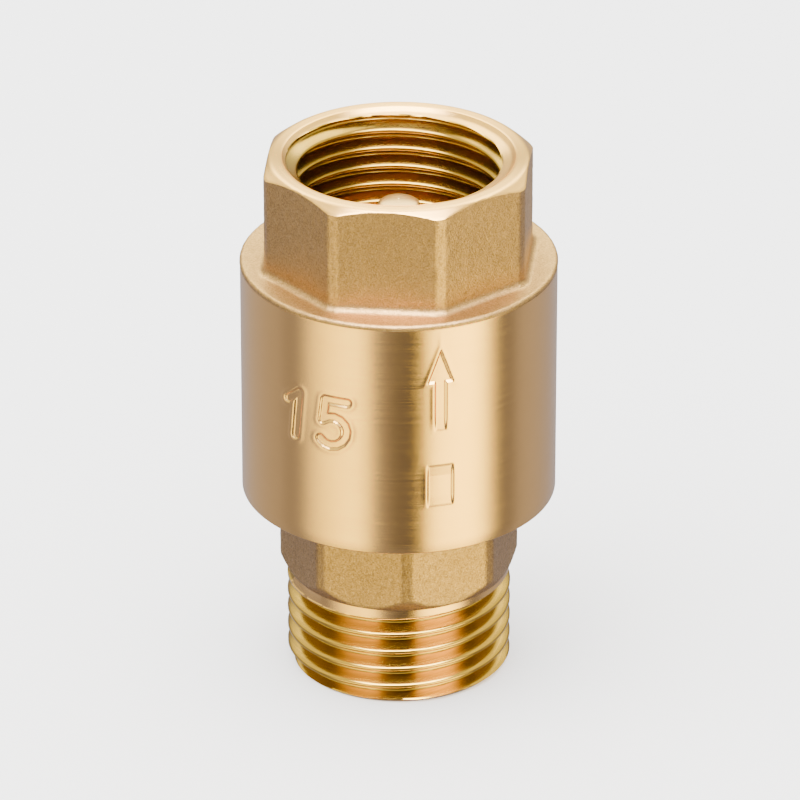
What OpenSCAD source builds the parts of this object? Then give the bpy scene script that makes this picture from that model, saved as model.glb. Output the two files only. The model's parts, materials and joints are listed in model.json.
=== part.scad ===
// In-line spring check valve, G1/2 female outlet above and G1/2 male inlet below.
// Origin: centre of the inlet end face. +Z is the valve's axis and the way the water flows.

/* [Overall] */
// Height from end face to end face
valve_height = 51.6; // [51.2:0.1:53]
// Diameter of the turned barrel
barrel_d = 29.4; // [29:0.1:32]
// Height of the barrel's lower face above the inlet end
barrel_bottom = 18.1; // [17.8:0.1:18.4]
// Height of the shoulder on top of the barrel
barrel_top = 41.4; // [40.8:0.1:42]

/* [Spanner flats] */
// Across the flats of the octagon round the outlet
outlet_flats = 24; // [23.6:0.1:25]
// Across the rounded corners of the outlet octagon
outlet_corners = 25.8; // [25.5:0.1:26.2]
// Across the flats of the octagon above the inlet thread
inlet_flats = 21; // [20.8:0.1:21.6]
// Across the rounded corners of the inlet octagon
inlet_corners = 22.4; // [22.2:0.1:22.6]
// Height of the lower face of the inlet octagon
inlet_flats_bottom = 9.9; // [9.6:0.1:11]
// Turn of the inlet octagon against the outlet octagon, in degrees
inlet_flats_turn = -12.6; // [-22:0.1:22]

/* [Pipe threads] */
// Major diameter of the G1/2 pipe thread
pipe_thread_d = 20.955; // [20.9:0.005:21]
// Turns per inch of the G1/2 pipe thread
pipe_thread_tpi = 14; // [14:1:14]
// Height of the lowest full crest of the inlet thread
inlet_first_crest = 1.85; // [1.7:0.05:2]
// Depth below the outlet face of the outlet thread's first groove
outlet_first_groove = 1; // [0.9:0.05:1.6]

/* [Water way] */
// Bore of the inlet
bore_d = 15; // [14:0.1:15.4]
// Diameter of the chamber in the barrel
chamber_d = 22.6; // [22.2:0.1:22.8]
// Outside diameter of the poppet
poppet_d = 18; // [17.8:0.1:18.4]
// How far the poppet lifts when fully open
lift = 4; // [3:0.1:4.2]

/* [Stem and spring] */
// Diameter of the stem where it runs in the guide
stem_d = 3.9; // [3.7:0.1:4]
// Height of the stem's tip when the valve is closed
stem_tip = 47.2; // [46.8:0.1:47.4]
// Radial running clearance of the stem in its guide
stem_clearance = 0.08; // [0.05:0.01:0.1]
// Number of arms of the stem guide
guide_arms = 3; // [3:1:4]
// Wire diameter of the closing spring
wire_d = 0.55; // [0.4:0.05:0.6]
// Turns of the closing spring
spring_turns = 5; // [4:0.5:6]

/* [Hidden] */
$fn = 96;
inch = 25.4;

// Pipe thread, Whitworth form
pipe_pitch = inch / pipe_thread_tpi;
pipe_depth = 0.6403 * pipe_pitch;
pipe_major_r = pipe_thread_d / 2;
pipe_minor_r = pipe_major_r - pipe_depth;
pipe_flank = 27.5;

// Body joint thread, a fine 60 degree form between the body and the inlet connector
joint_pitch = 1.5;
joint_major_r = chamber_d / 2 + 1.6;
joint_depth = 0.75;
joint_flank = 30;
joint_gap = 0.06;
joint_rings = 4;
joint_low_r = joint_major_r - joint_depth;
joint_length = 6;
entry_flare = 0.5;
entry_depth = 0.7;

// Inlet end
inlet_rings = 4;
neck_r = pipe_major_r - 0.08;

// Outlet end
mouth_r = pipe_major_r + 0.22;
cone_top_r = 11.9;
cone_slope = 0.72;
cone_reach = 3;
outlet_grooves = 5;
outlet_last_groove = valve_height - outlet_first_groove - (outlet_grooves - 1) * pipe_pitch;
relief_r = pipe_major_r + 0.12;
relief_top = outlet_last_groove - 1.54;

// Heights, from the inlet upwards
recess = 0.4;
spigot_bottom = barrel_bottom + recess;
joint_first_ridge = spigot_bottom + 0.9;
spigot_top = spigot_bottom + joint_length;
seat_lip = 0.8;
seat_top = spigot_top + seat_lip;
gasket_h = 1;
ledge = spigot_top + gasket_h;
chamber_top = barrel_top - 2.4;
guide_rim_h = 2;
arm_bottom = chamber_top - guide_rim_h;
passage_top = chamber_top + 1.2;

// Poppet stack, closed
seal_h = 2;
seal_top = seat_top + seal_h;
disc_h = 1.8;
disc_top = seal_top + disc_h;
boss_r = 3;
boss_top = disc_top + 1.1;
lip_wall = 0.5;
lip_drop = 1.2;
plate_h = 1;
plate_bottom = seat_top - plate_h;
plate_r = bore_d / 2 - 0.9;
wing_r = bore_d / 2 - 0.3;
wing_h = 5.8;
wing_t = 1.2;
wing_inner = 4;
screw_r = 1.5;
nut_flats = 5.5;
nut_h = 2.4;
nut_bottom = plate_bottom - nut_h;
stem_bottom = nut_bottom - 0.7;

// Stem guide
stop_gap = 0.05;
hub_r = 3;
hub_bottom = boss_top + lift + stop_gap;
hub_top = stem_tip - 1.8;
guide_r = chamber_d / 2 - 0.02;
guide_inner_r = 9;
arm_t = 1.4;

// Spring
spring_r = 3.65;
spring_gap = 0.03;
spring_low = disc_top + spring_gap;
spring_high = arm_bottom - spring_gap;

brass_cast = "#c79d62";
brass_turned = "#d9b178";
brass_dark = "#b98a48";
steel = "#b9bcc0";
nitrile = "#2b2b2d";
fibre = "#8f3b2b";

// Outline of thread ridges as rings: n ridges from centre height z0 upwards.
function ridges(r_low, r_high, pitch, flank, n, z0) = let(
        land = (pitch - 2 * (r_high - r_low) * tan(flank)) / 4,
        foot = land + (r_high - r_low) * tan(flank)
    ) [
        for (i = [0 : n - 1], p = [
            [r_low, z0 + i * pitch - foot],
            [r_high, z0 + i * pitch - land],
            [r_high, z0 + i * pitch + land],
            [r_low, z0 + i * pitch + foot]
        ]) p
    ];

// A ring of rectangular section between two radii and two heights.
module ring(r_in, r_out, z_low, z_high) {
    translate([0, 0, z_low]) difference() {
        cylinder(h = z_high - z_low, r = r_out);
        translate([0, 0, -1]) cylinder(h = z_high - z_low + 2, r = r_in);
    }
}

// A prism with flats whose corners are rounded to a circle.
module flats_prism(sides, flats, corners, z_low, z_high) {
    translate([0, 0, z_low]) intersection() {
        rotate(180 / sides)
            cylinder(h = z_high - z_low, r = flats / 2 / cos(180 / sides), $fn = sides);
        cylinder(h = z_high - z_low, d = corners);
    }
}

// Solid of revolution from a list of [radius, height] points.
module turned(points) {
    rotate_extrude() polygon(points);
}

module outlet_blank() {
    edge = 0.4;
    barrel_r = barrel_d / 2;
    cone_r = cone_top_r + cone_reach;
    turned([
        [0, barrel_bottom], [barrel_r, barrel_bottom], [barrel_r, barrel_top - edge],
        [barrel_r - edge, barrel_top], [0, barrel_top]
    ]);
    intersection() {
        flats_prism(8, outlet_flats, outlet_corners, barrel_top - 1, valve_height);
        turned([
            [0, barrel_top - 2], [cone_r, barrel_top - 2],
            [cone_r, valve_height - cone_slope * cone_reach],
            [cone_top_r, valve_height], [0, valve_height]
        ]);
    }
}

// The hollow of the body, from the joint thread up to the outlet's mouth.
module outlet_hollow() {
    joint_r = joint_major_r + joint_gap;
    joint_low = joint_low_r + joint_gap;
    entry_r = joint_r + entry_flare;
    turned(concat(
        [[0, barrel_bottom - 1], [entry_r, barrel_bottom - 1],
         [entry_r, barrel_bottom], [joint_low, barrel_bottom + entry_depth]],
        ridges(joint_low, joint_r, joint_pitch, joint_flank, joint_rings, joint_first_ridge),
        [[joint_low, ledge], [chamber_d / 2, ledge], [chamber_d / 2, chamber_top],
         [guide_inner_r, chamber_top], [guide_inner_r, passage_top],
         [relief_r, passage_top], [relief_r, relief_top], [pipe_minor_r, relief_top]],
        ridges(pipe_minor_r, pipe_major_r, pipe_pitch, pipe_flank, outlet_grooves,
               outlet_last_groove),
        [[pipe_minor_r, valve_height + 1], [0, valve_height + 1]]
    ));
    turned([
        [0, valve_height - mouth_r], [mouth_r, valve_height],
        [mouth_r, valve_height + 1], [0, valve_height + 1]
    ]);
}

module outlet_body() {
    color(brass_turned) difference() {
        outlet_blank();
        outlet_hollow();
    }
}

// Outer profile of the inlet connector below its octagon: chamfered tip, thread and neck.
module inlet_thread() {
    tip_r = pipe_minor_r + 0.6;
    tip_chamfer = 0.25;
    crest_half = pipe_pitch / 12;
    foot_half = pipe_pitch / 2 - crest_half;
    neck_bottom = inlet_first_crest + inlet_rings * pipe_pitch;
    turned(concat(
        [[0, 0], [tip_r, 0], [tip_r + tip_chamfer, tip_chamfer], [pipe_minor_r, 0.75]],
        ridges(pipe_minor_r, pipe_major_r, pipe_pitch, pipe_flank, inlet_rings,
               inlet_first_crest),
        [[pipe_minor_r, neck_bottom - foot_half], [neck_r, neck_bottom - crest_half],
         [neck_r, inlet_flats_bottom + 1], [0, inlet_flats_bottom + 1]]
    ));
}

// Octagon of the inlet connector, its lower corners turned off.
module inlet_octagon() {
    foot_r = neck_r + 0.07;
    reach = 3;
    slope = 1.7;
    intersection() {
        rotate(inlet_flats_turn)
            flats_prism(8, inlet_flats, inlet_corners, inlet_flats_bottom, spigot_bottom + 1);
        turned([
            [0, inlet_flats_bottom], [foot_r, inlet_flats_bottom],
            [foot_r + reach, inlet_flats_bottom + slope * reach],
            [foot_r + reach, spigot_bottom + 2],
            [0, spigot_bottom + 2]
        ]);
    }
}

// Inlet thread, neck, octagon, joint thread and seat, all from one bar.
module inlet_connector() {
    seat_r = bore_d / 2 + 0.8;
    mouth_flare = bore_d / 2 + 0.7;
    color(brass_cast) difference() {
        union() {
            inlet_thread();
            inlet_octagon();
            turned(concat(
                [[0, spigot_bottom], [joint_low_r, spigot_bottom]],
                ridges(joint_low_r, joint_major_r, joint_pitch, joint_flank, joint_rings,
                       joint_first_ridge),
                [[joint_low_r, spigot_top], [seat_r, spigot_top], [seat_r, seat_top],
                 [0, seat_top]]
            ));
        }
        translate([0, 0, -1]) cylinder(h = seat_top + 2, d = bore_d);
        turned([[0, -1], [mouth_flare + 1, -1], [0, mouth_flare]]);
    }
}

// Flat ring squeezed between the connector's spigot and the ledge in the body.
module joint_gasket() {
    color(fibre) ring(chamber_d / 2, joint_low_r - 0.02, spigot_top, ledge);
}

// Rim, arms and a tall hub in which the stem slides.
module stem_guide() {
    foot_h = 2;
    color(brass_dark) difference() {
        union() {
            ring(guide_inner_r, guide_r, arm_bottom, chamber_top);
            for (i = [0 : guide_arms - 1])
                rotate(90 + i * 360 / guide_arms)
                    translate([hub_r - 0.5, -arm_t / 2, arm_bottom])
                        cube([guide_inner_r - hub_r + 1, arm_t, guide_rim_h]);
            translate([0, 0, hub_bottom]) cylinder(h = hub_top - hub_bottom, r = hub_r);
            turned([
                [0, chamber_top - 1], [hub_r + foot_h, chamber_top - 1],
                [hub_r + foot_h, chamber_top], [0, chamber_top + hub_r + foot_h]
            ]);
        }
        translate([0, 0, hub_bottom - 1])
            cylinder(h = hub_top - hub_bottom + 2, r = stem_d / 2 + stem_clearance);
    }
}

// Turned stem: a domed guide length above, a thin screwed end below.
module valve_stem() {
    dome_h = 0.55;
    stem_r = stem_d / 2;
    dome_steps = 12;
    color(brass_turned) turned(concat(
        [[0, stem_bottom], [screw_r - 0.25, stem_bottom], [screw_r, stem_bottom + 0.25],
         [screw_r, boss_top], [stem_r, boss_top]],
        [for (i = [0 : dome_steps])
            [stem_r * cos(i * 90 / dome_steps),
             stem_tip - dome_h + dome_h * sin(i * 90 / dome_steps)]]
    ));
}

// Disc with a lip round its seal and a boss that centres the spring.
module poppet_disc() {
    color(brass_turned) difference() {
        union() {
            translate([0, 0, seal_top]) cylinder(h = disc_h, d = poppet_d);
            ring(poppet_d / 2 - lip_wall, poppet_d / 2, seal_top - lip_drop, seal_top);
            translate([0, 0, seal_top]) cylinder(h = boss_top - seal_top, r = boss_r);
        }
        translate([0, 0, seat_top]) cylinder(h = boss_top - seat_top + 1, r = screw_r);
    }
}

// Rubber ring that closes on the seat.
module poppet_seal() {
    color(nitrile) ring(screw_r, poppet_d / 2 - lip_wall, seat_top, seal_top);
}

// Plate that clamps the seal, with four wings that slide in the inlet bore.
module wing_retainer() {
    root_h = 0.8;
    color(brass_dark) {
        ring(screw_r, plate_r, plate_bottom, seat_top);
        for (i = [0 : 3]) intersection() {
            rotate(45 + i * 90) translate([wing_inner, -wing_t / 2, plate_bottom - wing_h])
                cube([wing_r, wing_t, wing_h]);
            translate([0, 0, plate_bottom - wing_h]) cylinder(h = wing_h, r = wing_r);
        }
        intersection() {
            ring(plate_r - 1, wing_r, plate_bottom - root_h, plate_bottom);
            for (i = [0 : 3]) rotate(45 + i * 90)
                translate([plate_r - 1, -wing_t / 2, plate_bottom - root_h])
                    cube([2, wing_t, root_h]);
        }
    }
}

// Nut on the stem's screwed end.
module stem_nut() {
    color(steel) difference() {
        flats_prism(6, nut_flats, nut_flats * 1.13, nut_bottom, plate_bottom);
        translate([0, 0, nut_bottom - 1]) cylinder(h = nut_h + 2, r = screw_r);
    }
}

// Height of the spring's wire at turn t: flat end turns, open turns between them.
function coil_z(t) = let(
        low = spring_low + wire_d / 2,
        high = spring_high - wire_d / 2,
        closed = 0.75,
        rise = wire_d * 1.05
    ) t < closed ? low + rise * t * t / closed / 2 :
      t > spring_turns - closed ? high - rise * pow(spring_turns - t, 2) / closed / 2 :
      low + rise * closed / 2
          + (high - low - rise * closed) * (t - closed) / (spring_turns - 2 * closed);

module closing_spring() {
    per_turn = 20;
    sides = 8;
    rings = spring_turns * per_turn;
    points = [
        for (k = [0 : rings], s = [0 : sides - 1]) let(
            turn = k / per_turn,
            r = spring_r + wire_d / 2 * cos(s * 360 / sides)
        ) [
            r * cos(turn * 360), r * sin(turn * 360),
            coil_z(turn) + wire_d / 2 * sin(s * 360 / sides)
        ]
    ];
    skin = [
        for (k = [0 : rings - 1], s = [0 : sides - 1]) let(next = (s + 1) % sides) [
            k * sides + s, (k + 1) * sides + s, (k + 1) * sides + next, k * sides + next
        ]
    ];
    start_cap = [[for (s = [0 : sides - 1]) s]];
    end_cap = [[for (s = [sides - 1 : -1 : 0]) rings * sides + s]];
    color(steel) polyhedron(points, concat(skin, start_cap, end_cap), convexity = 10);
}

outlet_body();
inlet_connector();
joint_gasket();
stem_guide();
valve_stem();
poppet_disc();
poppet_seal();
wing_retainer();
stem_nut();
closing_spring();
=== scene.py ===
import json
import math

import bmesh
import bpy
import numpy as np
from bpy.props import FloatProperty, FloatVectorProperty, IntProperty, PointerProperty
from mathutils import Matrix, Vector, noise


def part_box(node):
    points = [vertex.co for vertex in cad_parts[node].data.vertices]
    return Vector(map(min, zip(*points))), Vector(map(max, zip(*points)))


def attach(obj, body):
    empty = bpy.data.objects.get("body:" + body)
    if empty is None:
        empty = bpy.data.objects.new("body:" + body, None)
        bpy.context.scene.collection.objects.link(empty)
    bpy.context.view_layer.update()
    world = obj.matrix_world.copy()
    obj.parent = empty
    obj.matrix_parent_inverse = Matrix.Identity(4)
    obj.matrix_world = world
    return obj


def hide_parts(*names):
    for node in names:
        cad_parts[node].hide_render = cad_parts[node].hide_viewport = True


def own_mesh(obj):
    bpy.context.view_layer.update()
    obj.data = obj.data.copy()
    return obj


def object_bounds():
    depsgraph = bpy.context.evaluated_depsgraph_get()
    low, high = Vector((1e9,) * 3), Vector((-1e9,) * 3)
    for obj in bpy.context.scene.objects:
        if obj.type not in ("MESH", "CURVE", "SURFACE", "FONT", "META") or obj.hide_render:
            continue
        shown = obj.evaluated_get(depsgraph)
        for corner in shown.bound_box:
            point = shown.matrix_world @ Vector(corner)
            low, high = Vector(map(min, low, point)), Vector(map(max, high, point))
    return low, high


bl_info = {
    "name": "Brass Check Valve",
    "version": (1, 0, 0),
    "blender": (4, 5, 0),
    "location": "3D View > Sidebar > Valve",
    "description": "Builds the visible pieces of an in-line spring check valve round its CAD frame",
    "category": "Add Mesh",
}

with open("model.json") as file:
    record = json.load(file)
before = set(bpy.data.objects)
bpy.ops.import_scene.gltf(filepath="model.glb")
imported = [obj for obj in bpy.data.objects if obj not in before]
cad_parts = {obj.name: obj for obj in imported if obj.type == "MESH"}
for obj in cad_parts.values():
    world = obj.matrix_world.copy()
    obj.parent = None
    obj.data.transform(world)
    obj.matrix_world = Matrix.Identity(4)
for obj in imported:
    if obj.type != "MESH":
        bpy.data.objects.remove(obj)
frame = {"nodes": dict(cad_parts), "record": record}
CAD_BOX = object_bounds()

MM = 0.001
TURN = 2 * math.pi
# Points closer together than this are one point.
MERGE = 4e-7
BODY_LOW, BODY_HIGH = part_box("outlet_body")
INLET_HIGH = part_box("inlet_connector")[1]
STEM_LOW, STEM_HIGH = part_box("valve_stem")
DISC_LOW, DISC_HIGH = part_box("poppet_disc")
SEAL_LOW, SEAL_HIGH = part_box("poppet_seal")
NUT_LOW, NUT_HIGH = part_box("stem_nut")
SPRING_LOW, SPRING_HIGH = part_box("closing_spring")
GASKET_LOW, GASKET_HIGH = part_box("joint_gasket")
MOUNTS = {mount["name"]: mount for mount in frame["record"]["mounts"]}
THREAD_R = MOUNTS["inlet_thread"]["dims"]["r_mm"] * MM


def length(name, description, default):
    """A length in metres for the sidebar."""
    return FloatProperty(name=name, description=description, default=default,
                         unit="LENGTH", subtype="DISTANCE", precision=5)


def tint(name, description, default):
    """A colour for the sidebar."""
    return FloatVectorProperty(name=name, description=description, default=default,
                               subtype="COLOR", size=3, min=0, max=1)


class ValveBodySizes(bpy.types.PropertyGroup):
    """Sizes of the outlet body and the inlet connector."""
    height: length("Height", "From end face to end face", BODY_HIGH[2])
    barrel_r: length("Barrel radius", "Radius of the barrel's forged rim", BODY_HIGH[0])
    turned_step: length("Turned step", "How far the turned barrel lies below its rim", 0.07 * MM)
    barrel_bottom: length("Barrel bottom", "Height of the barrel's lower face", BODY_LOW[2])
    shoulder: length("Shoulder", "Height of the shoulder round the outlet octagon", 41.4 * MM)
    rim_round: length("Rim rounding", "Rounding of the shoulder's edge", 0.35 * MM)
    outlet_flats: length("Outlet flats", "Across the flats of the outlet octagon", 24 * MM)
    outlet_corners: length("Outlet corners", "Across the outlet octagon's blunted corners",
                           25.6 * MM)
    cone_r: length("Cone radius", "Where the turned cone meets the outlet face", 11.8 * MM)
    cone_slope: FloatProperty(name="Cone slope", default=0.72, min=0.2, max=1.5,
                              description="Fall of the turned cone over its run")
    inlet_flats: length("Inlet flats", "Across the flats of the inlet octagon", 21 * MM)
    inlet_corners: length("Inlet corners", "Across the inlet octagon's blunted corners", 22.3 * MM)
    inlet_turn: FloatProperty(name="Inlet turn", default=math.radians(-12.6), unit="ROTATION",
                              description="Turn of the inlet octagon against the outlet's")
    inlet_flats_bottom: length("Inlet octagon", "Height of the octagon's lower face", 9.9 * MM)
    bore_r: length("Bore radius", "Radius of the inlet's bore", 7.5 * MM)
    chamber_r: length("Chamber radius", "Radius of the chamber in the barrel", 11.3 * MM)


class ValveThreadSizes(bpy.types.PropertyGroup):
    """Sizes of the pipe threads."""
    pitch: length("Pitch", "Pitch of the pipe threads", 25.4 / 14 * MM)
    depth: length("Depth", "Depth of the pipe threads", 0.6403 * 25.4 / 14 * MM)
    major_r: length("Major radius", "Radius at the male crests", THREAD_R)
    inlet_crest: length("Inlet crest", "Height of a male crest at the front", 7.3 * MM)
    outlet_crest: length("Outlet crest", "Height of a female crest at the back", 49.7 * MM)
    front: FloatProperty(name="Front", default=math.radians(-84.5), unit="ROTATION",
                         description="Angle of the valve's front about its axis")
    steps: IntProperty(name="Steps", default=24, min=8, max=40,
                       description="Rows of points in one pitch")


class ValveMarkSizes(bpy.types.PropertyGroup):
    """Sizes of what is stamped into the barrel."""
    depth: length("Depth", "Depth of the stamped marks", 0.17 * MM)
    edge: length("Edge", "Width of a mark's sloping edge", 0.22 * MM)
    arrow_angle: FloatProperty(name="Arrow angle", default=math.radians(-69.4),
                               unit="ROTATION", description="Where the flow arrow stands")
    number_angle: FloatProperty(name="Number angle", default=math.radians(-115.5),
                                unit="ROTATION", description="Middle of the size number")


class ValveColours(bpy.types.PropertyGroup):
    """Colours of the metals and the rubber."""
    forged: tint("Forged brass", "Blasted skin of the forging", (0.45, 0.265, 0.104))
    turned: tint("Turned brass", "Barrel and faces", (0.88, 0.505, 0.165))
    thread: tint("Thread brass", "Freshly cut threads", (0.60, 0.36, 0.06))
    stem: tint("Stem brass", "Tip of the stem", (0.88, 0.56, 0.26))
    nitrile: tint("Nitrile", "Seal of the poppet", (0.018, 0.018, 0.02))
    fibre: tint("Fibre", "Gasket of the body joint", (0.30, 0.07, 0.045))
    steel: tint("Steel", "Spring and nut", (0.62, 0.63, 0.65))


class ValveStudio(bpy.types.PropertyGroup):
    """Camera and light."""
    azimuth: FloatProperty(name="Azimuth", default=math.radians(5.5), unit="ROTATION",
                           description="Camera's turn about the valve")
    elevation: FloatProperty(name="Elevation", default=math.radians(27.016),
                             unit="ROTATION", description="Camera's height angle")
    distance: length("Distance", "From the camera to the valve's axis", 0.658059)
    aim_z: length("Aim height", "Height that the camera looks at", 26.514 * MM)
    aim_side: length("Aim side", "How far right of the axis the camera looks", 0.11 * MM)
    lens: FloatProperty(name="Lens", default=318.7, min=20, max=600,
                        description="Focal length in millimetres on a 36 mm sensor")
    tent: FloatProperty(name="Tent", default=1.0, min=0, max=10,
                        description="Brightness of the light tent that the metal mirrors")
    sky: FloatProperty(name="Sky", default=4.2, min=0, max=10,
                       description="Brightness of the surroundings")


# ---- Shader building -------------------------------------------------------------------

class Value:
    """A number that varies over a surface; it takes part in sums like a plain number."""

    def __init__(self, finish, socket):
        self.finish = finish
        self.socket = socket

    def _math(self, operation, first, second):
        return self.finish.node("ShaderNodeMath", {"operation": operation}, {0: first, 1: second})

    def __add__(self, other):
        return self._math("ADD", self, other)

    def __radd__(self, other):
        return self._math("ADD", other, self)

    def __sub__(self, other):
        return self._math("SUBTRACT", self, other)

    def __rsub__(self, other):
        return self._math("SUBTRACT", other, self)

    def __mul__(self, other):
        return self._math("MULTIPLY", self, other)

    def __rmul__(self, other):
        return self._math("MULTIPLY", other, self)


class Finish:
    """One procedural material."""

    def __init__(self, name):
        self.material = bpy.data.materials.new(name)
        self.material.use_nodes = True
        self.tree = self.material.node_tree
        self.shader = self.tree.nodes["Principled BSDF"]

    def node(self, kind, settings=None, inputs=None, output=0):
        """Adds a node: settings first, then the values or links of its sockets."""
        made = self.tree.nodes.new(kind)
        for key, value in (settings or {}).items():
            if key == "stops":
                self._stops(made.color_ramp, value)
            else:
                setattr(made, key, value)
        for key, value in (inputs or {}).items():
            if isinstance(value, Value):
                self.tree.links.new(value.socket, made.inputs[key])
            else:
                made.inputs[key].default_value = value
        return Value(self, made.outputs[output])

    @staticmethod
    def _stops(ramp, stops):
        while len(ramp.elements) < len(stops):
            ramp.elements.new(0.5)
        for element, (position, colour) in zip(ramp.elements, stops):
            element.position = position
            element.color = (*colour, 1)

    def feed(self, socket, value):
        """Gives one of the shader's sockets a constant or a link."""
        if isinstance(value, Value):
            self.tree.links.new(value.socket, self.shader.inputs[socket])
        elif isinstance(value, tuple):
            self.shader.inputs[socket].default_value = (*value, 1)
        else:
            self.shader.inputs[socket].default_value = value

    def place(self):
        """Position on the object in millimetres."""
        spot = self.node("ShaderNodeTexCoord", output="Object")
        return self.node("ShaderNodeVectorMath", {"operation": "SCALE"}, {0: spot, "Scale": 1 / MM})

    def axes(self, place):
        """The three parts of a vector."""
        split = self.node("ShaderNodeSeparateXYZ", inputs={0: place})
        return [Value(self, out) for out in split.socket.node.outputs]

    def grain(self, place, size, detail=2.0, roughness=0.5):
        """Noise with blobs of a size in millimetres, from 0 to 1."""
        return self.node("ShaderNodeTexNoise", inputs={
            "Vector": place, "Scale": 1 / size, "Detail": detail, "Roughness": roughness})

    def ramp(self, value, low, high):
        """0 below low and 1 above high."""
        return self.node("ShaderNodeMapRange", {"interpolation_type": "SMOOTHSTEP"}, {
            "Value": value, "From Min": low, "From Max": high})

    def blend(self, factor, first, second):
        """A colour between two; its sockets 6 and 7 are the two colours."""
        ends = [c if isinstance(c, Value) else (*c, 1) for c in (first, second)]
        return self.node("ShaderNodeMix", {"data_type": "RGBA"},
                         {0: factor, 6: ends[0], 7: ends[1]}, output=2)

    def relief(self, height, depth, strength=1.0):
        """Bumps of a depth in millimetres on the shader's normal."""
        self.feed("Normal", self.node("ShaderNodeBump", inputs={
            "Height": height, "Distance": depth * MM, "Strength": strength}))

    def tool_lines(self, place, pitch):
        """Fine lines left by a lathe tool: they circle the axis on walls, cones and faces."""
        across, deep, up = self.axes(place)
        flat = self.node("ShaderNodeCombineXYZ", inputs={0: across, 1: deep})
        reach = self.node("ShaderNodeVectorMath", {"operation": "LENGTH"}, {0: flat},
                          output="Value")
        path = (up + reach * 0.83) * (1 / pitch)
        return self.node("ShaderNodeTexNoise", {"noise_dimensions": "1D"}, {
            "W": path, "Scale": 1.0, "Detail": 3.0, "Roughness": 0.6})


def shade(colour, factor):
    """A darker or lighter version of a colour."""
    return tuple(min(1.0, channel * factor) for channel in colour)


def blasted_brass(name, colour):
    """Forged skin, shot-blasted: dimples, painted highlight on peaks, painted shade in pits."""
    finish = Finish(name)
    place = finish.place()
    fine = finish.grain(place, 0.16, 2.0, 0.6)
    coarse = finish.grain(place, 0.4, 2.0)
    stain = finish.grain(place, 4.0, 3.0)
    height = fine * 0.75 + coarse * 0.25
    body = finish.blend(finish.ramp(stain, 0.35, 0.65), shade(colour, 0.97), shade(colour, 1.03))
    # Painted highlight: the bump peaks are paler. Painted shade: the bump pits are darker.
    pale = tuple(min(1.0, c * 1.18 + 0.03) for c in colour)
    painted_pit_shade = finish.blend(finish.ramp(height, 0.38, 0.5), shade(colour, 0.72), body)
    finish.feed("Base Color", finish.blend(finish.ramp(height, 0.52, 0.66), painted_pit_shade, pale))
    finish.feed("Metallic", 1.0)
    finish.feed("Roughness", 0.54 - height * 0.2)
    finish.relief(height, 0.055)
    return finish.material


def turned_brass(name, colour, roughness=0.20, pitch=0.06, lines=0.006, stretch=0.85):
    """Finely turned metal: lines round the axis, glints spread along it."""
    finish = Finish(name)
    place = finish.place()
    cuts = finish.tool_lines(place, pitch)
    cloud = finish.grain(place, 2.6, 3.0)
    tone = finish.blend(finish.ramp(cuts, 0.35, 0.65), shade(colour, 0.93), shade(colour, 1.05))
    finish.feed("Base Color", finish.blend(finish.ramp(cloud, 0.3, 0.8), tone, shade(colour, 0.97)))
    finish.feed("Metallic", 1.0)
    uneven = cuts * 0.07 + cloud * 0.04
    finish.feed("Roughness", uneven + (roughness - 0.055))
    finish.feed("Anisotropic", stretch)
    finish.feed("Anisotropic Rotation", 0.25)
    finish.relief(cuts, lines)
    return finish.material


def moulded_rubber(name, colour):
    """Matt rubber with a faint skin."""
    finish = Finish(name)
    place = finish.place()
    skin = finish.grain(place, 0.3, 3.0)
    finish.feed("Base Color", finish.blend(skin, shade(colour, 0.8), shade(colour, 1.5)))
    finish.feed("Roughness", 0.55 + skin * 0.2)
    finish.relief(skin, 0.02)
    return finish.material


def pressed_fibre(name, colour):
    """Gasket board with short fibres."""
    finish = Finish(name)
    place = finish.place()
    fibres = finish.grain(place, 0.12, 4.0, 0.7)
    finish.feed("Base Color", finish.blend(fibres, shade(colour, 0.6), shade(colour, 1.4)))
    finish.feed("Roughness", 0.8 + fibres * 0.1)
    finish.relief(fibres, 0.03)
    return finish.material


def drawn_steel(name, colour):
    """Bright stainless wire and bar."""
    finish = Finish(name)
    place = finish.place()
    marks = finish.grain(place, 0.2, 3.0, 0.7)
    finish.feed("Base Color", finish.blend(marks, shade(colour, 0.88), shade(colour, 1.08)))
    finish.feed("Metallic", 1.0)
    finish.feed("Roughness", 0.2 + marks * 0.14)
    finish.relief(marks, 0.004)
    return finish.material


# ---- Mesh building ---------------------------------------------------------------------

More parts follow.
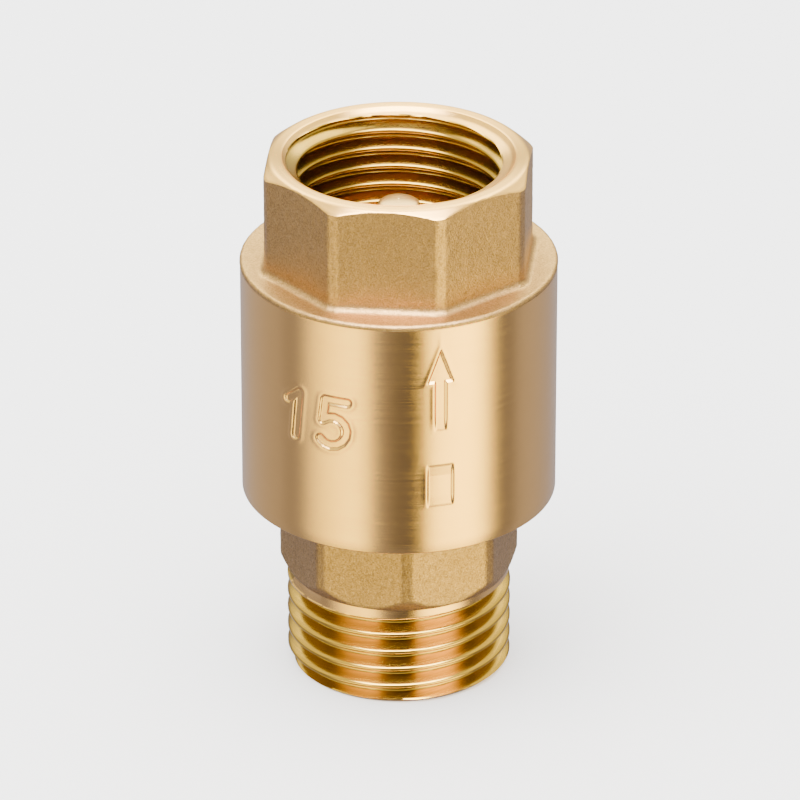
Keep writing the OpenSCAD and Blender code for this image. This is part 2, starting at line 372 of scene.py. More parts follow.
class Skin:
    """Rows of points round the valve's axis; a row has one radius and height per column."""

    def __init__(self, angles):
        self.angles = angles
        self.radii = []
        self.heights = []
        self.finishes = []

    def row(self, radius, height, finish=0):
        """One row; its finish is that of the faces between the last row and this one."""
        one = np.ones_like(self.angles)
        self.radii.append(radius * one)
        self.heights.append(height * one)
        self.finishes.append((finish * one).astype(int))

    def run(self, radius, height, steps=1, finish=0):
        """Straight rows from the last row to a new one."""
        start_r, start_z = self.radii[-1], self.heights[-1]
        for step in range(1, steps + 1):
            share = step / steps
            self.row(start_r + (radius - start_r) * share,
                     start_z + (height - start_z) * share, finish)

    def arc(self, centre_r, centre_z, radius, start, end, steps, finish=0):
        """Rows round an arc; angles in degrees, 0 points away from the axis and 90 up."""
        for step in range(steps + 1):
            turn = math.radians(start + (end - start) * step / steps)
            self.row(centre_r + radius * math.cos(turn),
                     centre_z + radius * math.sin(turn), finish)

    def build(self, name, materials, closed=True, sharp=38.0):
        """The mesh object, with coincident points merged."""
        radii, heights = np.array(self.radii), np.array(self.heights)
        rows, columns = radii.shape
        points = np.stack([radii * np.cos(self.angles), radii * np.sin(self.angles), heights], -1)
        top = rows if closed else rows - 1
        row = np.repeat(np.arange(top), columns - 1)
        column = np.tile(np.arange(columns - 1), top)
        above = (row + 1) % rows
        quads = np.stack([row * columns + column, row * columns + column + 1,
                          above * columns + column + 1, above * columns + column], -1)
        mesh = bpy.data.meshes.new(name)
        mesh.from_pydata(points.reshape(-1, 3).tolist(), [], quads.tolist())
        mesh.polygons.foreach_set("material_index", np.array(self.finishes)[above, column])
        for material in materials:
            mesh.materials.append(material)
        work = bmesh.new()
        work.from_mesh(mesh)
        bmesh.ops.remove_doubles(work, verts=work.verts, dist=MERGE)
        bmesh.ops.dissolve_degenerate(work, edges=work.edges, dist=MERGE)
        bmesh.ops.recalc_face_normals(work, faces=work.faces)
        work.to_mesh(mesh)
        work.free()
        mesh.shade_smooth()
        mesh.set_sharp_from_angle(angle=math.radians(sharp))
        return stand(name, mesh)


def stand(name, data):
    """A new object in the scene."""
    made = bpy.data.objects.new(name, data)
    bpy.context.scene.collection.objects.link(made)
    return made


def evenly(count):
    """Angles of evenly spaced columns, the last one closing the circle."""
    return np.linspace(0, TURN, count + 1)


def corner_spans(first_corner, half_width, step):
    """Fine spans round every corner of an octagon."""
    corners = [first_corner + k * math.pi / 4 for k in range(-8, 8)]
    return [(corner - half_width, corner + half_width, step) for corner in corners]


def columns(start, base_step, fine_spans):
    """Column angles over one turn from start, closer together inside each fine span."""
    closest = math.radians(0.09)
    marks = [start, start + TURN]
    marks += list(np.arange(start, start + TURN, base_step))
    for low, high, step in fine_spans:
        marks += list(np.arange(low, high, step))
    turned = sorted({round((mark - start) % TURN, 6) for mark in marks})
    kept = [0.0]
    for mark in turned[1:]:
        if mark - kept[-1] > closest:
            kept.append(mark)
    if TURN - kept[-1] < closest:
        kept.pop()
    return start + np.array(kept + [TURN])


def octagon(angles, flats, corners, first_corner):
    """Radius of an octagon with softly blunted corners at each angle."""
    half = math.pi / 8
    from_corner = np.abs((angles - first_corner + half) % (2 * half) - half)
    flat = flats / 2 / np.cos(half - from_corner)
    blunt = corners / 2 / np.cos(from_corner)
    soft = 0.09 * MM
    overlap = np.maximum(soft - np.abs(flat - blunt), 0) / soft
    return np.minimum(flat, blunt) - overlap * overlap * soft / 4


def tooth(phase):
    """Height of a pipe thread's tooth, 1 at its crest and 0 at its root; phase in pitches."""
    crest, flank = 1 / 16, 0.375
    away = np.abs((phase + 0.5) % 1.0 - 0.5)
    ramp = np.clip((away - crest) / flank, 0, 1)
    soft = ramp * ramp * (3 - 2 * ramp)
    return 1 - (0.75 * ramp + 0.25 * soft)


def skin_grain(angles, radius, height, size, depth):
    """Small unevenness of a forged skin, in metres."""
    out = np.empty(len(angles))
    last = len(angles) - 1
    for k, angle in enumerate(angles):
        spot = Vector((math.cos(angle), math.sin(angle), 0)) * float(radius[k])
        spot.z = float(height[k])
        out[k] = noise.noise(spot / size)
    out[last] = out[0]
    return out * depth


def helix_heights(sizes, angles, low, high, anchor):
    """Rows that follow a right-hand helix between two heights, upwards from the lower one."""
    rise = sizes.pitch * (angles - angles[0]) / TURN
    step = sizes.pitch / sizes.steps
    start = anchor - math.ceil((anchor - low + sizes.pitch) / step) * step
    count = math.ceil((high - start) / step) + 1
    return [np.clip(start + k * step + rise, low, high) for k in range(count)]


# ---- Housing ---------------------------------------------------------------------------

# Material slots of the two housing pieces; the inlet connector has the first four.
FORGED, TURNED, THREAD, CUT, FACED = range(5)
OUTLET_CORNER = math.pi / 8
# The fine thread that joins the two pieces.
JOINT_PITCH = 1.5 * MM
JOINT_DEPTH = 0.75 * MM
JOINT_RIDGES = 4
JOINT_GAP = 0.06 * MM
# Rounding of turned edges.
EDGE = 0.1 * MM
# How far the mouth's edge lies outside the roots of the outlet's thread.
MOUTH_STEP = 0.22 * MM
# How far the inlet's neck lies inside the crests of its thread.
NECK_STEP = 0.08 * MM
# The stamped marks, in heights on the barrel.
MARKS_LOW, MARKS_MIDDLE, MARKS_HIGH = 22.4 * MM, 30.9 * MM, 39.2 * MM
# Radius of the screwed end that holds the poppet together.
SCREW_R = 1.5 * MM


def capsule(x, y, start, end, half):
    """Distance outside a straight stroke with round ends."""
    ax, ay = start
    bx, by = end[0] - ax, end[1] - ay
    share = np.clip(((x - ax) * bx + (y - ay) * by) / (bx * bx + by * by), 0, 1)
    return np.hypot(x - ax - share * bx, y - ay - share * by) - half


def block(x, y, centre, half_w, half_h):
    """Distance outside an upright rectangle."""
    across = np.abs(x - centre[0]) - half_w
    up = np.abs(y - centre[1]) - half_h
    outside = np.hypot(np.maximum(across, 0), np.maximum(up, 0))
    return outside + np.minimum(np.maximum(across, up), 0)


def flow_arrow(x, y):
    """Distance outside a flow arrow that points up, in millimetres from its middle."""
    tip, barbs, half = 7.7, 4.6, 1.15
    side = math.hypot(half, tip - barbs)
    head = np.maximum(barbs - y, ((tip - barbs) * np.abs(x) + half * (y - tip)) / side)
    shaft = block(x, y, (0, 2.4), 0.49, 2.7)
    tail = block(x, y, (0, -5.95), 1.17, 2.1)
    return np.minimum(np.minimum(head, shaft), tail)


def size_number(x, y):
    """Distance outside the number 15, in millimetres from its middle."""
    half = 0.36
    x, y = x / 1.12, y / 1.12
    lean = x - 0.1 * y
    one = np.minimum(capsule(lean, y, (-1.9, -2.0), (-1.9, 2.0), half),
                     capsule(lean, y, (-1.9, 2.0), (-3.0, 1.1), half))
    bowl = [(1.5 + 1.3 * math.cos(turn), -0.75 + 1.3 * math.sin(turn))
            for turn in np.radians(np.linspace(135, -140, 12))]
    five = [(2.6, 2.05), (0.65, 2.05), (0.6, 0.2)] + bowl
    strokes = [capsule(lean, y, a, b, half) for a, b in zip(five, five[1:])]
    return np.minimum(one, np.minimum.reduce(strokes))


def stamped(marks, body, angles, height):
    """How deep the marks lie below the turned barrel at one height."""
    def arc(centre):
        return ((angles - centre + math.pi) % TURN - math.pi) * body.barrel_r / MM
    up = (height - MARKS_MIDDLE) / MM
    edge = marks.edge / MM
    arrow = flow_arrow(arc(marks.arrow_angle), np.full_like(angles, up))
    number = size_number(arc(marks.number_angle), np.full_like(angles, up))
    # The arrow is worn away at its shaft's foot and at the bottom of its tail block.
    worn = np.clip((np.abs(up + 2.0) - 1.4) / 1.6, 0, 1) * np.clip((up + 8.4) / 1.4, 0, 1)
    depth = np.zeros_like(angles)
    for away, share in ((arrow, worn), (number, 1.0)):
        inside = np.clip(0.5 - away / edge, 0, 1)
        lip = np.exp(-((away - edge) / edge) ** 2) * 0.16
        depth += share * (inside * inside * (3 - 2 * inside) - lip)
    return depth * marks.depth


def joint_ridges(skin, low_r, high_r, first, downwards):
    """Rows of the fine thread between the body and the inlet connector."""
    land = JOINT_PITCH / 2 * 0.212
    foot = land + JOINT_DEPTH * math.tan(math.radians(30))
    order = range(JOINT_RIDGES)
    for k in (reversed(order) if downwards else order):
        middle = first + k * JOINT_PITCH
        corners = [(low_r, -foot), (high_r, -land), (high_r, land), (low_r, foot)]
        for radius, offset in (reversed(corners) if downwards else corners):
            skin.run(radius, middle + offset, 1, CUT)


def outlet_thread_rows(skin, body, thread, low):
    """Female thread from the mouth down, with the mouth's chamfer cut through it."""
    angles = skin.angles
    mouth_r = thread.major_r + MOUTH_STEP
    crest = thread.outlet_crest + thread.pitch * (angles - thread.front - math.pi) / TURN
    for height in reversed(helix_heights(thread, angles, low, body.height, crest[0])):
        cut = thread.major_r - thread.depth * tooth((height - crest) / thread.pitch)
        deep = body.height - height
        chamfer = mouth_r - np.maximum(deep, 2.4 * deep - 0.5 * MM)
        skin.row(np.maximum(cut, chamfer), height, np.where(chamfer > cut, FACED, THREAD))


def outlet_body_skin(body, thread, marks):
    """The whole surface of the outlet body, from its lower face out, up, in and down."""
    spans = corner_spans(OUTLET_CORNER, 0.06, 0.012)
    for middle, half_width in ((marks.arrow_angle, 0.11), (marks.number_angle, 0.3)):
        spans.append((middle - half_width, middle + half_width, 0.0055))
    angles = columns(thread.front - math.pi, math.radians(1.5), spans)
    skin = Skin(angles)
    wall = octagon(angles, body.outlet_flats, body.outlet_corners, OUTLET_CORNER)
    entry_r = INLET_HIGH[0] + JOINT_GAP + 0.5 * MM
    turned_r = body.barrel_r - body.turned_step
    skin.row(entry_r, body.barrel_bottom, CUT)
    skin.run(turned_r - EDGE, body.barrel_bottom, 2, TURNED)
    skin.arc(turned_r - EDGE, body.barrel_bottom + EDGE, EDGE, -90, 0, 3, TURNED)
    rim_low = body.shoulder - body.rim_round - 0.04 * MM
    marked = np.arange(MARKS_LOW, MARKS_HIGH, 0.1 * MM)
    under_rim = rim_low - np.array([0.8, 0.3, 0.12]) * MM
    for height in [body.barrel_bottom + 1.2 * MM, *marked, *under_rim]:
        skin.row(turned_r - stamped(marks, body, angles, height), height, TURNED)
    rough = skin_grain(angles, body.barrel_r * np.ones_like(angles), rim_low * np.ones_like(angles),
                       0.9 * MM, 0.06 * MM)
    skin.row(turned_r, rim_low + rough, FORGED)
    skin.row(body.barrel_r - 0.03 * MM, rim_low + 0.08 * MM + rough, FORGED)
    skin.arc(body.barrel_r - body.rim_round, body.shoulder - body.rim_round, body.rim_round,
             0, 90, 7, FORGED)
    foot = 0.7 * MM
    skin.run(wall + foot, body.shoulder, 5, FORGED)
    skin.arc(wall + foot, body.shoulder + foot, foot, -90, -180, 6, FORGED)
    cone_z = body.height - (wall - body.cone_r) * body.cone_slope
    skin.run(wall, cone_z - 0.12 * MM, 34, FORGED)
    roughen(skin, FORGED, 0.5 * MM, 0.03 * MM)
    skin.run(wall - 0.03 * MM, cone_z - 0.02 * MM, 1, FORGED)
    skin.run(wall - 0.12 * MM, cone_z + 0.08 * MM, 1, FACED)
    cone_top_r = np.minimum(body.cone_r + EDGE, wall - 0.15 * MM)
    skin.run(cone_top_r, body.height - EDGE * body.cone_slope, 5, FACED)
    skin.run(body.cone_r - EDGE, body.height, 1, FACED)
    skin.run(thread.major_r + 0.3 * MM, body.height, 4, FACED)
    skin.run(thread.major_r + MOUTH_STEP + 0.01 * MM, body.height - 0.03 * MM, 1, FACED)
    relief_top = body.height - 9.8 * MM
    relief_r = thread.major_r + 0.12 * MM
    outlet_thread_rows(skin, body, thread, relief_top)
    passage_r = 9 * MM
    passage_top = body.shoulder - 1.2 * MM
    chamber_top = body.shoulder - 2.4 * MM
    skin.run(relief_r, relief_top, 1, CUT)
    skin.run(relief_r, passage_top, 2, CUT)
    skin.run(passage_r, passage_top, 2, CUT)
    skin.run(passage_r, chamber_top, 1, CUT)
    skin.run(body.chamber_r, chamber_top, 1, CUT)
    skin.run(body.chamber_r, GASKET_HIGH[2], 4, CUT)
    low_r = INLET_HIGH[0] - JOINT_DEPTH + JOINT_GAP
    skin.run(low_r, GASKET_HIGH[2], 1, CUT)
    first = body.barrel_bottom + 1.3 * MM
    joint_ridges(skin, low_r, low_r + JOINT_DEPTH, first, True)
    skin.run(low_r, body.barrel_bottom + 0.7 * MM, 1, CUT)
    return skin


def roughen(skin, finish, size, depth):
    """Moves the points of one finish a little, as a forging's skin is never quite even."""
    for k, kinds in enumerate(skin.finishes):
        if kinds[0] == finish:
            away = skin_grain(skin.angles, skin.radii[k], skin.heights[k], size, depth)
            skin.radii[k] = skin.radii[k] + away - depth


def inlet_thread_rows(skin, body, thread):
    """Male thread and neck from the tip up; the last groove runs out just below the octagon."""
    angles = skin.angles
    tip_r = thread.major_r - thread.depth + 0.6 * MM
    neck_r = thread.major_r - NECK_STEP
    high = body.inlet_flats_bottom
    crest = thread.inlet_crest + thread.pitch * (angles - thread.front) / TURN
    run_out = high - 0.1 * MM
    fade_length = 0.32 * MM
    for height in helix_heights(thread, angles, 0, high, crest[0]):
        phase = (height - crest) / thread.pitch
        groove_z = height - (phase % 1.0 - 0.5) * thread.pitch
        fade = np.clip((run_out - groove_z) / fade_length, 0, 1)
        plain = np.where(height > high - 1.0 * MM, neck_r, thread.major_r)
        cut = plain - thread.depth * (1 - tooth(phase)) * fade
        chamfer = tip_r + height * 1.05
        neck = (fade < 0.5) & (height > high - 1.2 * MM)
        finish = np.where((chamfer < cut) | neck | (height <= 0), TURNED, THREAD)
        skin.row(np.minimum(cut, chamfer), height, finish)


def inlet_connector_skin(body, thread):
    """The whole surface of the inlet connector, from its end face out, up, in and down."""
    first_corner = OUTLET_CORNER + body.inlet_turn
    angles = columns(thread.front - math.pi, math.radians(1.8),
                     corner_spans(first_corner, 0.09, 0.015))
    skin = Skin(angles)
    mouth_r = body.bore_r + 0.7 * MM
    skin.row(mouth_r, 0, CUT)
    skin.run(thread.major_r - thread.depth - 0.04 * MM, 0, 2, TURNED)
    inlet_thread_rows(skin, body, thread)
    wall = octagon(angles, body.inlet_flats, body.inlet_corners, first_corner)
    low = body.inlet_flats_bottom
    recess_z = body.barrel_bottom + 0.4 * MM
    foot_r = thread.major_r - NECK_STEP + 0.07 * MM
    skin.run(foot_r, low, 1, FORGED)
    skin.run(wall, low + (wall - foot_r) * 1.7, 4, FORGED)
    skin.run(wall, recess_z - 0.1 * MM, 26, FORGED)
    roughen(skin, FORGED, 0.5 * MM, 0.025 * MM)
    skin.run(wall, recess_z, 1, CUT)
    low_r = INLET_HIGH[0] - JOINT_DEPTH
    skin.run(low_r, recess_z, 1, CUT)
    joint_ridges(skin, low_r, low_r + JOINT_DEPTH, recess_z + 0.9 * MM, False)
    skin.run(low_r, GASKET_LOW[2], 1, CUT)
    seat_r = body.bore_r + 0.8 * MM
    seat_top = INLET_HIGH[2]
    skin.run(seat_r, GASKET_LOW[2], 3, TURNED)
    skin.run(seat_r, seat_top - EDGE, 1, TURNED)
    skin.arc(seat_r - EDGE, seat_top - EDGE, EDGE, 0, 90, 3, TURNED)
    skin.arc(body.bore_r + EDGE, seat_top - EDGE, EDGE, 90, 180, 3, TURNED)
    skin.run(body.bore_r, 0.7 * MM, 12, CUT)
    return skin


# ---- Poppet, guide and spring ----------------------------------------------------------

def stem_skin():
    """Domed guide length above, screwed end below."""
    skin = Skin(evenly(96))
    stem_r = STEM_HIGH[0]
    shoulder = DISC_HIGH[2]
    dome = 0.55 * MM
    skin.row(0, STEM_LOW[2])
    skin.run(SCREW_R - 0.25 * MM, STEM_LOW[2], 2)
    skin.run(SCREW_R, STEM_LOW[2] + 0.25 * MM)
    skin.run(SCREW_R, shoulder, 8)
    skin.run(stem_r - EDGE, shoulder)
    skin.run(stem_r, shoulder + EDGE)
    skin.run(stem_r, STEM_HIGH[2] - dome, 24)
    for turn in np.radians(np.linspace(4, 84, 14)):
        skin.row(stem_r * math.cos(turn), STEM_HIGH[2] - dome * (1 - math.sin(turn)))
    skin.run(0.16 * MM, STEM_HIGH[2], 1)
    skin.run(0, STEM_HIGH[2] - 0.12 * MM, 2)
    return skin


def disc_skin():
    """Poppet disc: lip round the seal, bevelled rim and a boss for the spring."""
    skin = Skin(evenly(128))
    outer, boss_r = DISC_HIGH[0], 3 * MM
    lip_low, seal_top = DISC_LOW[2], SEAL_HIGH[2]
    disc_top = DISC_HIGH[2] - 1.1 * MM
    bevel = 0.3 * MM
    skin.row(SCREW_R, seal_top)
    skin.run(SEAL_HIGH[0], seal_top, 4)
    skin.run(SEAL_HIGH[0], lip_low + EDGE, 2)
    skin.run(SEAL_HIGH[0] + EDGE, lip_low)
    skin.arc(outer - EDGE, lip_low + EDGE, EDGE, -90, 0, 3)
    skin.run(outer, disc_top - bevel, 3)
    skin.arc(outer - bevel, disc_top - bevel, bevel, 0, 90, 5)
    skin.run(boss_r + bevel, disc_top, 6)
    skin.arc(boss_r + bevel, disc_top + bevel, bevel, -90, -180, 4)
    skin.run(boss_r, DISC_HIGH[2] - EDGE)
    skin.run(boss_r - EDGE, DISC_HIGH[2])
    skin.run(SCREW_R, DISC_HIGH[2], 2)
    return skin


def seal_skin():
    """Rubber ring with rounded edges."""
    skin = Skin(evenly(128))
    outer = SEAL_HIGH[0]
    low, high = SEAL_LOW[2], SEAL_HIGH[2]
    soft = 0.2 * MM
    skin.row(SCREW_R, low)
    skin.run(outer - 1.2 * MM, low, 6)
    skin.run(outer - soft, low, 3)
    skin.arc(outer - soft, low + soft, soft, -90, 0, 4)
    skin.run(outer, high, 2)
    skin.run(SCREW_R, high, 4)
    return skin


def nut_skin():
    """Hexagon nut with its corners turned off above and below."""
    angles = evenly(144)
    skin = Skin(angles)
    wall = hexagon(angles, NUT_HIGH[0] - NUT_LOW[0])
    crown_r = (NUT_HIGH[0] - NUT_LOW[0]) * 0.475
    low, high = NUT_LOW[2], NUT_HIGH[2]
    skin.row(SCREW_R, low + 0.2 * MM)
    skin.run(SCREW_R + 0.2 * MM, low)
    skin.run(crown_r, low, 2)
    skin.run(wall, low + (wall - crown_r) * 0.6, 2)
    skin.run(wall, high - (wall - crown_r) * 0.6, 4)
    skin.run(crown_r, high, 2)
    skin.run(SCREW_R + 0.2 * MM, high, 2)
    skin.run(SCREW_R, high - 0.2 * MM)
    return skin


def hexagon(angles, flats):
    """Radius of a hexagon at each angle, its flats across X."""
    away = (angles + math.pi / 6) % (math.pi / 3) - math.pi / 6
    return flats / 2 / np.cos(away)


def spring_mesh(name, material):
    """Closing spring: flat end turns, open turns between."""
    wire_r = 0.275 * MM
    turns, per_turn, sides = 5, 48, 14
    mid_r = SPRING_HIGH[0] - wire_r
    low, high = SPRING_LOW[2] + wire_r, SPRING_HIGH[2] - wire_r
    flat, rise = 0.75, wire_r * 2.1
    points, faces = [], []
    for k in range(turns * per_turn + 1):
        turn = k / per_turn
        if turn < flat:
            height = low + rise * turn * turn / flat / 2
        elif turn > turns - flat:
            height = high - rise * (turns - turn) ** 2 / flat / 2
        else:
            share = (turn - flat) / (turns - 2 * flat)
            height = low + rise * flat / 2 + (high - low - rise * flat) * share
        for side in range(sides):
            around = TURN * side / sides
            reach = mid_r + wire_r * math.cos(around)
            points.append((reach * math.cos(turn * TURN), reach * math.sin(turn * TURN),
                           height + wire_r * math.sin(around)))
    for k in range(turns * per_turn):
        for side in range(sides):
            following = (side + 1) % sides
            faces.append((k * sides + side, (k + 1) * sides + side,
                          (k + 1) * sides + following, k * sides + following))
    last = turns * per_turn * sides
    faces.append(tuple(range(sides)))
    faces.append(tuple(range(last + sides - 1, last - 1, -1)))
    mesh = bpy.data.meshes.new(name)
    mesh.from_pydata(points, [], faces)
    mesh.materials.append(material)
    mesh.shade_smooth()
    mesh.set_sharp_from_angle(angle=math.radians(40))
    return stand(name, mesh)


def refinish(node, material):
    """Gives a CAD node a new material and leaves its mesh alone."""
    piece = frame["nodes"][node]
    if not piece.material_slots:
        piece.data.materials.append(material)
    for place in piece.material_slots:
        place.link = "OBJECT"
        place.material = material


def settle(piece, node, body):
    """Puts a piece in place of its CAD node, on its body."""
    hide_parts(node)
    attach(piece, body)


# ---- Operators -------------------------------------------------------------------------

class VALVE_OT_outlet_body(bpy.types.Operator):
    """Build the outlet body: octagon, shoulder, stamped barrel and female thread"""
    bl_idname = "valve.outlet_body"
    bl_label = "Outlet Body"

    def execute(self, context):
        scene = context.scene
        hues = scene.valve_colours
        materials = [
            blasted_brass("forged_skin", hues.forged[:]),
            turned_brass("turned_barrel", hues.turned[:]),
            # Painted shade: the female thread inside the socket is a darker copy of the thread
            # brass.
            turned_brass("outlet_cut_thread_painted_shade", shade(hues.thread[:], 0.68), roughness=0.19,
                         stretch=0.35),
            # Painted shade: the bored walls inside the body are a darker copy of the turned brass.
            turned_brass("bored_wall_painted_shade", shade(hues.turned[:], 0.38), roughness=0.34, pitch=0.09,
                         lines=0.008, stretch=0.4),
            turned_brass("faced_ring", hues.turned[:], roughness=0.29, pitch=0.05, stretch=0.9),
        ]
        skin = outlet_body_skin(scene.valve_body, scene.valve_thread, scene.valve_marks)
        piece = skin.build("outlet_body_forging", materials)
        settle(piece, "outlet_body", "housing")
        return {"FINISHED"}


class VALVE_OT_inlet_connector(bpy.types.Operator):
    """Build the inlet connector: male thread, neck, octagon and seat"""
    bl_idname = "valve.inlet_connector"
    bl_label = "Inlet Connector"

    def execute(self, context):
        scene = context.scene
        hues = scene.valve_colours
        materials = [
            blasted_brass("connector_skin", shade(hues.forged[:], 0.97)),
            turned_brass("connector_turned", hues.turned[:]),
            turned_brass("inlet_cut_thread", hues.thread[:], roughness=0.17, lines=0.005,
                         stretch=0.6),
            turned_brass("connector_bore", shade(hues.turned[:], 0.9), roughness=0.34, pitch=0.09,
                         lines=0.012, stretch=0.4),
        ]
        skin = inlet_connector_skin(scene.valve_body, scene.valve_thread)
        piece = skin.build("inlet_connector_turning", materials)
        settle(piece, "inlet_connector", "housing")
        return {"FINISHED"}


class VALVE_OT_poppet(bpy.types.Operator):
    """Build the stem, the disc, the seal and the nut that lift together"""
    bl_idname = "valve.poppet"
    bl_label = "Poppet"

    def execute(self, context):
        hues = context.scene.valve_colours
        # Painted shade: the stem tip deep in the socket is a darker copy of the stem brass.
        stem = turned_brass("stem_painted_shade", shade(hues.stem[:], 0.6), roughness=0.3, pitch=0.07,
                            lines=0.012, stretch=0.4)
        disc = turned_brass("disc_turned", hues.turned[:], roughness=0.26, pitch=0.08,
                            lines=0.012, stretch=0.6)
        seal = moulded_rubber("nitrile_skin", hues.nitrile[:])
        steel = drawn_steel("nut_steel", hues.steel[:])
        made = [
            (stem_skin().build("valve_stem_turning", [stem], closed=False), "valve_stem",
             "turned_brass"),
            (disc_skin().build("poppet_disc_turning", [disc]), "poppet_disc", "turned_brass"),
            (seal_skin().build("poppet_seal_ring", [seal]), "poppet_seal", "nitrile"),
            (nut_skin().build("stem_nut_hexagon", [steel]), "stem_nut", "plated_steel"),
        ]
        for piece, node, slot in made:
            settle(piece, node, "poppet")
        return {"FINISHED"}


class VALVE_OT_spring(bpy.types.Operator):
    """Build the closing spring, fixed on the housing; the real one shortens as the poppet lifts"""
    bl_idname = "valve.spring"
    bl_label = "Closing Spring"

    def execute(self, context):
        steel = drawn_steel("spring_wire", context.scene.valve_colours.steel[:])
        piece = spring_mesh("closing_spring_wire", steel)
        settle(piece, "closing_spring", "housing")
        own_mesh(piece)
        return {"FINISHED"}


class VALVE_OT_inner_finishes(bpy.types.Operator):
    """Finish the guide, the wing retainer and the gasket"""
    bl_idname = "valve.inner_finishes"
    bl_label = "Inner Finishes"

    def execute(self, context):
        hues = context.scene.valve_colours
        refinish("stem_guide", blasted_brass("guide_cast", shade(hues.turned[:], 0.95)))
        refinish("wing_retainer", turned_brass("retainer_turned", hues.turned[:],
                                               roughness=0.3, pitch=0.08))
        refinish("joint_gasket", pressed_fibre("gasket_fibre", hues.fibre[:]))
        return {"FINISHED"}


class VALVE_OT_stage(bpy.types.Operator):
    """Set the floor, the light tent, the surroundings and the camera"""
    bl_idname = "valve.stage"
    bl_label = "Stage"

    def execute(self, context):
        studio = context.scene.valve_studio
        add_floor()
        add_tent(studio)
        add_sky(context.scene, studio)
        add_lamp()
        add_camera(context.scene, studio)
        return {"FINISHED"}


def add_floor():
    """A wide pale floor at the valve's foot."""
    half = 3.0
    low = CAD_BOX[0][2] - 0.02 * MM
    mesh = bpy.data.meshes.new("floor")
    corners = [(-half, -half, low), (half, -half, low), (half, half, low), (-half, half, low)]
    mesh.from_pydata(corners, [], [(0, 1, 2, 3)])
    finish = Finish("floor_paper")
    finish.feed("Base Color", (0.93, 0.93, 0.93))
    finish.feed("Roughness", 0.9)
    finish.feed("Specular IOR Level", 0.1)
    mesh.materials.append(finish.material)
    floor = stand("floor", mesh)
    floor.visible_glossy = False


TENT_RADIUS = 0.6
# Soft boxes round the tent: degrees from the camera towards the right, and brightness.
SOFT_BOXES = [
    (-180, 0.60), (-138, 0.68), (-120, 0.66), (-97, 0.58), (-86, 0.42), (-77, 0.48), (-70, 1.10),
    (-62, 2.50), (-50, 4.10), (-35, 5.40), (-25, 4.60), (-19, 1.05), (-14, 0.50), (-6, 0.20),
    (5, 0.06), (15, 0.12), (23.5, 4.90), (28, 7.00), (48, 8.60), (60, 7.20), (68, 2.60),
    (76, 0.36), (88, 0.28), (97, 0.62), (116, 0.66), (135, 0.60), (180, 0.60),
]
DIM_CLOTH = 0.42
ZENITH_SHADE = 0.3
HAZE = (1.7, 1.68, 0.92)
# Colours of the roof's two lights, in multiples of the brightest box.
BACK_ROOF = (1.2, 1.2, 0.75)
FRONT_ROOF = (3.0, 2.95, 2.8)
# Soft edges between them, on a sphere of radius 1: heights first.
BOXES_LOW = (-0.82, -0.44)
BOXES_HIGH = (-0.12, 0.06)
HAZE_FROM = (0.15, 0.4)
ZENITH = (0.9, 0.96)
ROOF_FROM = (0.4, 0.55)
# Squares of the distance to either side.
ROOF_SIDES = (0.12, 0.3)
# Distances towards the camera, each span with its rise and its fall.
BACK_SPAN = ((-0.87, -0.74), (-0.36, -0.24))
FRONT_SPAN = ((0.04, 0.13), (0.62, 0.75))


def lamplight(level):
    """Colour of one level of light: bright boxes are warm, dim cloth is cool."""
    warmth = min(max((math.log(level) + 0.7) / 2, 0), 1)
    return (level, level * (1.02 - 0.12 * warmth), level * (1.3 - 1.02 * warmth))


def between(finish, value, rise, fall):
    """1 between two soft edges and 0 outside them."""
    return finish.ramp(value, *rise) * (1 - finish.ramp(value, *fall))


def tent_cloth(studio):
    """Light of the tent: soft boxes all round, dim cloth over and under them, a roof above."""
    finish = Finish("tent_cloth")
    spot = finish.node("ShaderNodeTexCoord", output="Object")
    unit = finish.node("ShaderNodeVectorMath", {"operation": "NORMALIZE"}, {0: spot})
    x, y, z = finish.axes(unit)
    sine, cosine = math.sin(studio.azimuth), math.cos(studio.azimuth)
    right = x * cosine + y * sine
    ahead = x * sine - y * cosine
    bearing = finish.node("ShaderNodeMath", {"operation": "ARCTAN2"}, {0: right, 1: ahead})
    brightest = max(level for _, level in SOFT_BOXES)
    stops = [(turn / 360 + 0.5, shade(lamplight(level), 1 / brightest))
             for turn, level in SOFT_BOXES]
    boxes = finish.node("ShaderNodeValToRGB", {"stops": stops}, {"Fac": bearing * (1 / TURN) + 0.5})
    dim = shade(lamplight(DIM_CLOTH), 1 / brightest)
    low = finish.blend(finish.ramp(z, *BOXES_LOW), dim, boxes)
    walls = finish.blend(finish.ramp(z, *BOXES_HIGH), low, dim)
    haze = finish.blend(finish.ramp(z, *HAZE_FROM), walls, shade(HAZE, 1 / brightest))
    haze = finish.blend(finish.ramp(z, *ZENITH), haze, shade(dim, ZENITH_SHADE))
    above = finish.ramp(z, *ROOF_FROM) * (1 - finish.ramp(right * right, *ROOF_SIDES))
    behind = between(finish, ahead, *BACK_SPAN)
    before = between(finish, ahead, *FRONT_SPAN)
    back_roof = finish.blend(above * behind, haze, BACK_ROOF)
    light = finish.blend(above * before, back_roof, FRONT_ROOF)
    glow = finish.node("ShaderNodeEmission", inputs={0: light, 1: studio.tent * brightest})
    leave = finish.tree.nodes["Material Output"]
    finish.tree.links.new(glow.socket, leave.inputs["Surface"])
    return finish.material


def add_tent(studio):
    """A round light tent that only mirror rays see."""
    work = bmesh.new()
    bmesh.ops.create_uvsphere(work, u_segments=48, v_segments=24, radius=TENT_RADIUS)
    mesh = bpy.data.meshes.new("tent")
    work.to_mesh(mesh)
    work.free()
    mesh.shade_smooth()
    mesh.materials.append(tent_cloth(studio))
    tent = stand("tent", mesh)
    tent.visible_camera = False
    tent.visible_diffuse = False
    tent.visible_shadow = False
    tent.visible_transmission = False


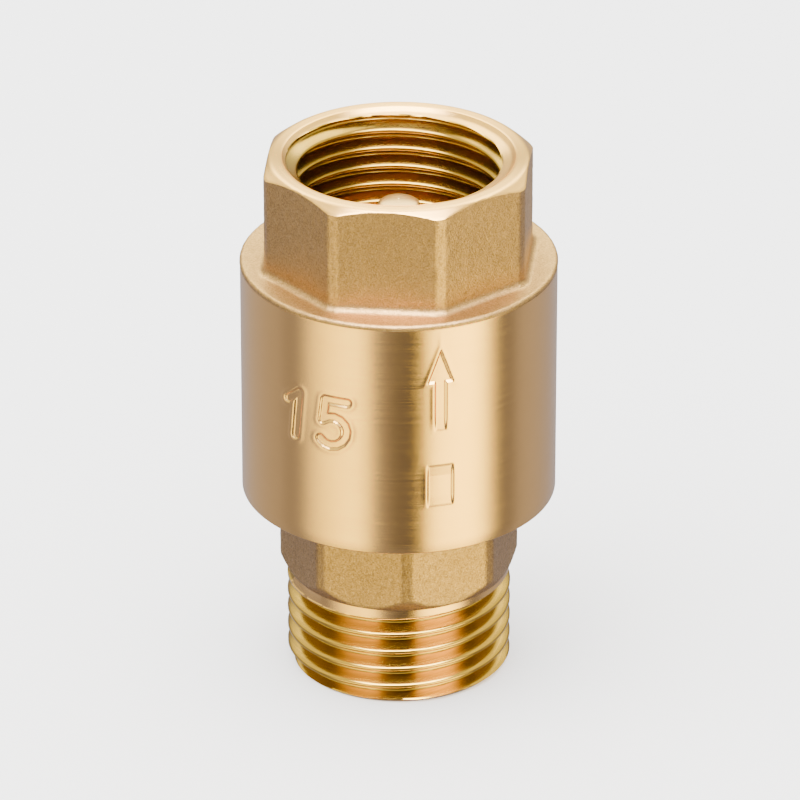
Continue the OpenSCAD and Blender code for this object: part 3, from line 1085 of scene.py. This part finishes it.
def add_sky(scene, studio):
    """Even pale surroundings that light the floor."""
    world = bpy.data.worlds.new("surroundings")
    scene.world = world
    world.use_nodes = True
    backdrop = world.node_tree.nodes["Background"]
    backdrop.inputs["Color"].default_value = (1, 1, 1, 1)
    backdrop.inputs["Strength"].default_value = studio.sky
    world.cycles_visibility.glossy = False


def add_lamp():
    """One large soft lamp above, for a faint shadow on the floor."""
    light = bpy.data.lights.new("soft_box", "AREA")
    light.size = 0.5
    light.energy = 4.0
    lamp = stand("soft_box", light)
    lamp.location = (-0.25, -0.2, 0.6)
    lamp.rotation_euler = (-lamp.location).to_track_quat("-Z", "Y").to_euler()
    lamp.visible_glossy = False


def add_camera(scene, studio):
    """A long lens from slightly above, a little right of the valve's front."""
    sine, cosine = math.sin(studio.azimuth), math.cos(studio.azimuth)
    level = math.cos(studio.elevation)
    back = Vector((sine * level, -cosine * level, math.sin(studio.elevation)))
    aim = Vector((cosine, sine, 0)) * studio.aim_side + Vector((0, 0, studio.aim_z))
    view = bpy.data.cameras.new("camera")
    view.sensor_width = 36
    view.lens = studio.lens
    view.clip_start = 0.01
    camera = stand("camera", view)
    camera.location = aim + back * studio.distance
    camera.rotation_euler = back.to_track_quat("Z", "Y").to_euler()
    scene.camera = camera


class VALVE_PT_pieces(bpy.types.Panel):
    """The valve's pieces, sizes and colours in the sidebar"""
    bl_idname = "VALVE_PT_pieces"
    bl_label = "Check Valve"
    bl_space_type = "VIEW_3D"
    bl_region_type = "UI"
    bl_category = "Valve"

    def draw(self, context):
        for operator in OPERATORS:
            self.layout.operator(operator.bl_idname)
        for group in GROUPS:
            box = self.layout.box()
            settings = getattr(context.scene, group)
            for key in settings.bl_rna.properties.keys():
                if key not in ("rna_type", "name"):
                    box.prop(settings, key)


GROUPS = {
    "valve_body": ValveBodySizes,
    "valve_thread": ValveThreadSizes,
    "valve_marks": ValveMarkSizes,
    "valve_colours": ValveColours,
    "valve_studio": ValveStudio,
}
OPERATORS = (
    VALVE_OT_outlet_body,
    VALVE_OT_inlet_connector,
    VALVE_OT_poppet,
    VALVE_OT_spring,
    VALVE_OT_inner_finishes,
    VALVE_OT_stage,
)
CLASSES = (*GROUPS.values(), *OPERATORS, VALVE_PT_pieces)


def register():
    """Registers the classes and hangs the settings on the scene."""
    for cls in CLASSES:
        bpy.utils.register_class(cls)
    for name, group in GROUPS.items():
        setattr(bpy.types.Scene, name, PointerProperty(type=group))


def unregister():
    """Takes both away again."""
    for name in GROUPS:
        delattr(bpy.types.Scene, name)
    for cls in reversed(CLASSES):
        bpy.utils.unregister_class(cls)


def main():
    """Builds every piece in order."""
    register()
    bpy.ops.valve.outlet_body()
    bpy.ops.valve.inlet_connector()
    bpy.ops.valve.poppet()
    bpy.ops.valve.spring()
    bpy.ops.valve.inner_finishes()
    bpy.ops.valve.stage()


if __name__ == "__main__":
    main()
